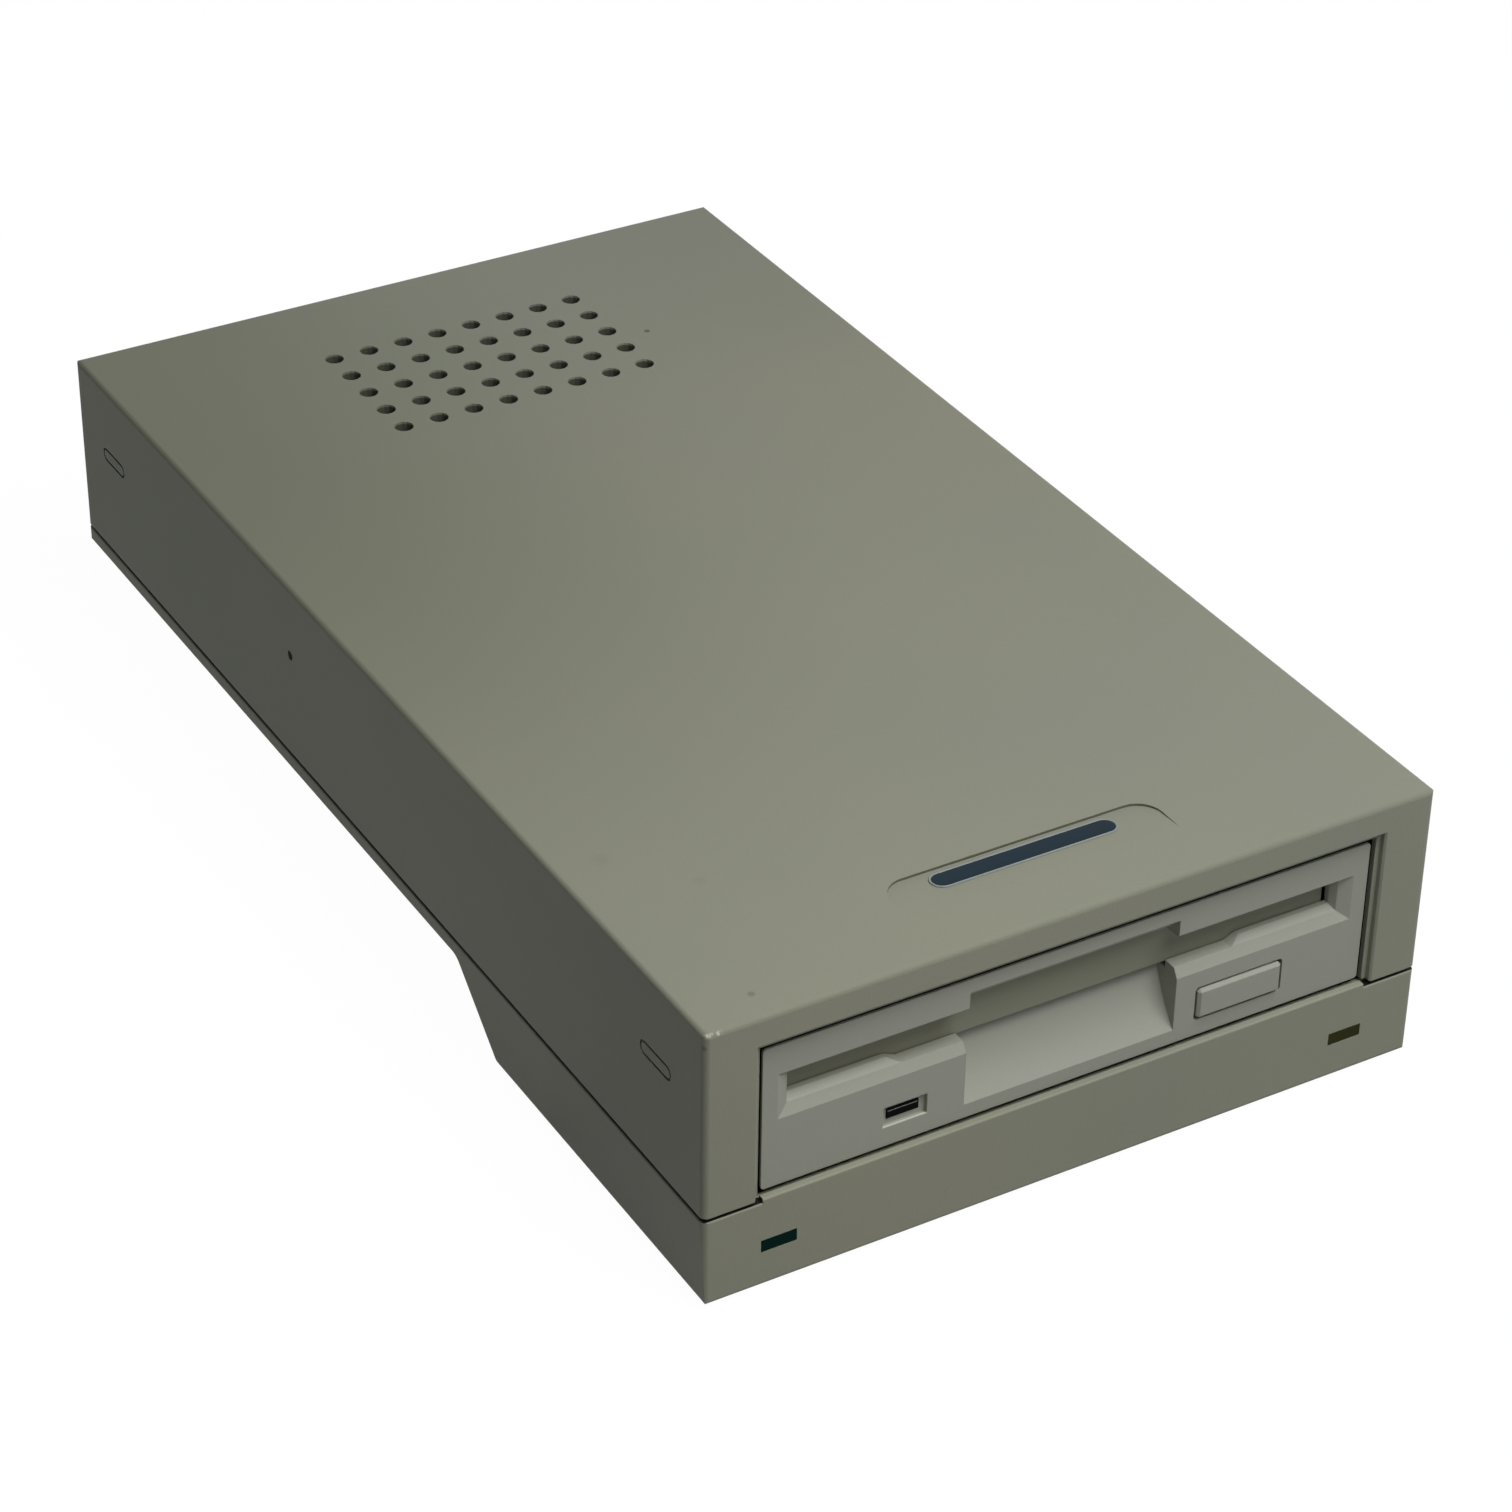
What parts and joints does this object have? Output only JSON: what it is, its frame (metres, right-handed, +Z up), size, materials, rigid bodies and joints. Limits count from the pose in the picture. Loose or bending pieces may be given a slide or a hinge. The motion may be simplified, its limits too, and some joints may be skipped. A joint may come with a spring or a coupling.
{
  "type": "external floppy disk drive",
  "caption": "External 3.5 inch floppy disk drive in a two-part moulded case with a deep front chin, disk slot with dust flap, eject button and rear ports.",
  "frame": {"origin": "middle of the footprint, on the surface that the feet stand on", "axes": "+X to the right and -Y to the front as seen by the user, +Z up"},
  "size_m": [0.1214, 0.2146, 0.0479],
  "materials": {
    "case_plastic": "fine moulded texture, warm grey-beige",
    "bezel_plastic": "smooth moulded, pale neutral grey",
    "rubber": "matt black",
    "zinc_steel": "zinc plated",
    "zinc_sheet": "zinc plated sheet",
    "green_lens": "dark green window",
    "amber_lens": "dark amber window",
    "painted_steel": "matt paint",
    "tinned_steel": "tin plated",
    "gold_contact": "gold plated",
    "black_plastic": "moulded black",
    "board_green": "circuit board",
    "chip_black": "epoxy",
    "capacitor_sleeve": "shrink sleeve",
    "heat_sink": "anodised",
    "ribbon_grey": "flat cable",
    "wire_red": "insulation",
    "led_body": "clear epoxy",
    "lamp_black": "unlit smoked lamp",
    "copper_winding": "enamelled winding",
    "motor_can": "plated can",
    "polished_steel": "ground",
    "carriage_plastic": "filled nylon",
    "head_ceramic": "ceramic"
  },
  "bodies": {
    "housing": {"top_cover": "case_plastic", "base_tray": "case_plastic", "rubber_feet": "rubber", "case_screws": "zinc_steel", "drive_screws": "zinc_steel", "power_led_lens": "green_lens", "activity_led_lens": "amber_lens", "rear_panel": "painted_steel", "computer_port": "tinned_steel", "computer_port_pins": "gold_contact", "printer_port": "tinned_steel", "jack_screws": "zinc_steel", "dc_inlet": "black_plastic", "interface_board": "board_green", "board_screws": "zinc_steel", "interface_chips": "chip_black", "board_capacitors": "capacitor_sleeve", "voltage_regulator": "heat_sink", "ribbon_header": "black_plastic", "signal_ribbon": "ribbon_grey", "power_lead": "wire_red", "led_board": "board_green", "led_board_screws": "zinc_steel", "indicator_leds": "led_body", "led_lead": "ribbon_grey", "drive_frame": "zinc_sheet", "drive_bezel": "bezel_plastic", "drive_lamp": "lamp_black", "drive_shield": "zinc_sheet", "shield_screws": "zinc_steel", "drive_board": "board_green", "spindle_stator": "copper_winding", "stepper_motor": "motor_can", "guide_rod": "polished_steel", "eject_springs": "polished_steel"},
    "eject_slide": {"eject_button": "bezel_plastic", "eject_slide_plate": "zinc_sheet"},
    "cage": {"disk_cage": "zinc_sheet", "cage_pins": "polished_steel"},
    "shutter": {"shutter_lever": "zinc_sheet"},
    "flap": {"dust_flap": "bezel_plastic"},
    "spindle": {"spindle_rotor": "motor_can", "spindle_hub": "polished_steel"},
    "screw": {"lead_screw": "polished_steel"},
    "carriage": {"head_carriage": "carriage_plastic", "lower_head": "head_ceramic"},
    "arm": {"head_arm": "zinc_sheet", "upper_head": "head_ceramic"}
  },
  "joints": [
    {"name": "eject_travel", "type": "slide", "parent": "housing", "child": "eject_slide", "axis": [0, 1, 0], "range_m": [-0.005, 0.001], "stiffness_N_per_m": 150, "deforming": ["eject_springs"]},
    {"name": "cage_lift", "type": "slide", "parent": "housing", "child": "cage", "axis": [0, 0, 1], "range_m": [-0.0029, 0.0006]},
    {"name": "shutter_swing", "type": "hinge", "parent": "cage", "child": "shutter", "pos_m": [-0.034, -0.012, 0.036], "axis": [0, 0, 1], "range_deg": [0, 36], "stiffness_Nm_per_rad": 0.002, "springref_deg": -17.19},
    {"name": "flap_swing", "type": "hinge", "parent": "housing", "child": "flap", "pos_m": [0, -0.1016, 0.0372], "axis": [1, 0, 0], "range_deg": [0, 85], "stiffness_Nm_per_rad": 0.0005, "springref_deg": -17.19},
    {"name": "spindle_spin", "type": "hinge", "parent": "housing", "child": "spindle", "pos_m": [0, -0.056, 0.02], "axis": [0, 0, 1], "continuous": true},
    {"name": "carriage_travel", "type": "slide", "parent": "housing", "child": "carriage", "axis": [0, -1, 0], "range_m": [0, 0.015]},
    {"name": "screw_turn", "type": "hinge", "parent": "housing", "child": "screw", "pos_m": [-0.014, 0, 0.026], "axis": [0, 1, 0], "range_deg": [-2, 1442]},
    {"name": "arm_lift", "type": "hinge", "parent": "carriage", "child": "arm", "pos_m": [0, 0.004, 0.033], "axis": [1, 0, 0], "range_deg": [-2.6, 12.2]}
  ],
  "couplings": [
    {"joint": "cage_lift", "follows": "eject_travel", "ratio": 0.56},
    {"joint": "arm_lift", "follows": "eject_travel", "rad_per_m": -42},
    {"joint": "screw_turn", "follows": "carriage_travel", "rad_per_m": 1675.5}
  ]
}
